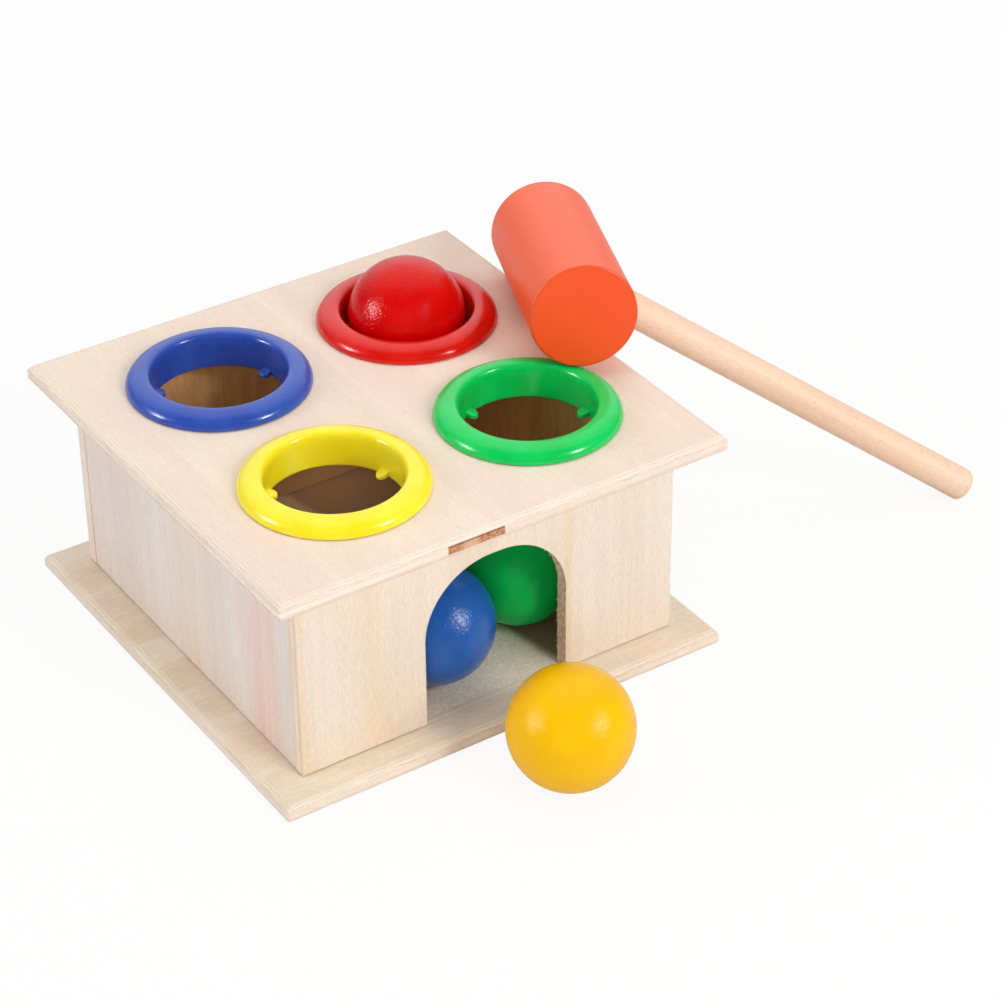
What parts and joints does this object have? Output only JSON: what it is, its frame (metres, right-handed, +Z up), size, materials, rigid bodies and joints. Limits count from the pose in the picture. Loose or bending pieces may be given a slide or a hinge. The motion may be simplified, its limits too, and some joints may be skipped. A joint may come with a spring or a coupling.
{
  "type": "pounding bench",
  "caption": "Small plywood pounding bench toy: a box with an arched front, a lid with coloured ring collars that hold wooden balls, and a leaning hammer.",
  "frame": {"origin": "the middle of the base board's underside, in the plane of the table", "axes": "+X to the right along the arched front, +Y from the arched front to the back, +Z up"},
  "size_m": [0.218, 0.161, 0.0914],
  "materials": {
    "board_wood": "bare sanded plywood",
    "panel_wood": "bare sanded plywood",
    "beech_wood": "bare turned beech dowel",
    "orange_paint": "orange-red satin paint on turned wood, worn at the rims",
    "yellow_collar_plastic": "glossy moulded plastic",
    "green_collar_plastic": "glossy moulded plastic",
    "blue_collar_plastic": "glossy moulded plastic",
    "red_collar_plastic": "glossy moulded plastic",
    "red_ball_paint": "gloss paint on a turned wooden ball",
    "blue_ball_paint": "gloss paint on a turned wooden ball",
    "green_ball_paint": "gloss paint on a turned wooden ball",
    "yellow_ball_paint": "gloss paint on a turned wooden ball"
  },
  "bodies": {
    "bench": {"base_plate": "board_wood", "top_plate": "board_wood", "front_wall": "panel_wood", "back_wall": "panel_wood", "left_wall": "panel_wood", "right_wall": "panel_wood", "yellow_collar": "yellow_collar_plastic", "green_collar": "green_collar_plastic", "blue_collar": "blue_collar_plastic", "red_collar": "red_collar_plastic"},
    "red_ball": {"red_ball": "red_ball_paint"},
    "blue_ball": {"blue_ball": "blue_ball_paint"},
    "green_ball": {"green_ball": "green_ball_paint"},
    "yellow_ball": {"yellow_ball": "yellow_ball_paint"},
    "hammer": {"hammer_head": "orange_paint", "hammer_handle": "beech_wood"}
  },
  "joints": [
    {"name": "red_ball_lift", "type": "slide", "parent": "bench", "child": "red_ball", "axis": [0, 0, 1], "range_m": [0, 0.045]},
    {"name": "blue_ball_roll_out", "type": "slide", "parent": "bench", "child": "blue_ball", "axis": [0.3614, -0.9324, 0], "range_m": [0, 0.017]},
    {"name": "green_ball_roll_back", "type": "slide", "parent": "bench", "child": "green_ball", "axis": [0, 1, 0], "range_m": [0, 0.06]},
    {"name": "yellow_ball_roll_away", "type": "slide", "parent": "bench", "child": "yellow_ball", "axis": [0, -1, 0], "range_m": [0, 0.08]},
    {"name": "hammer_lift", "type": "slide", "parent": "bench", "child": "hammer", "axis": [0, 0, 1], "range_m": [0, 0.06]}
  ]
}
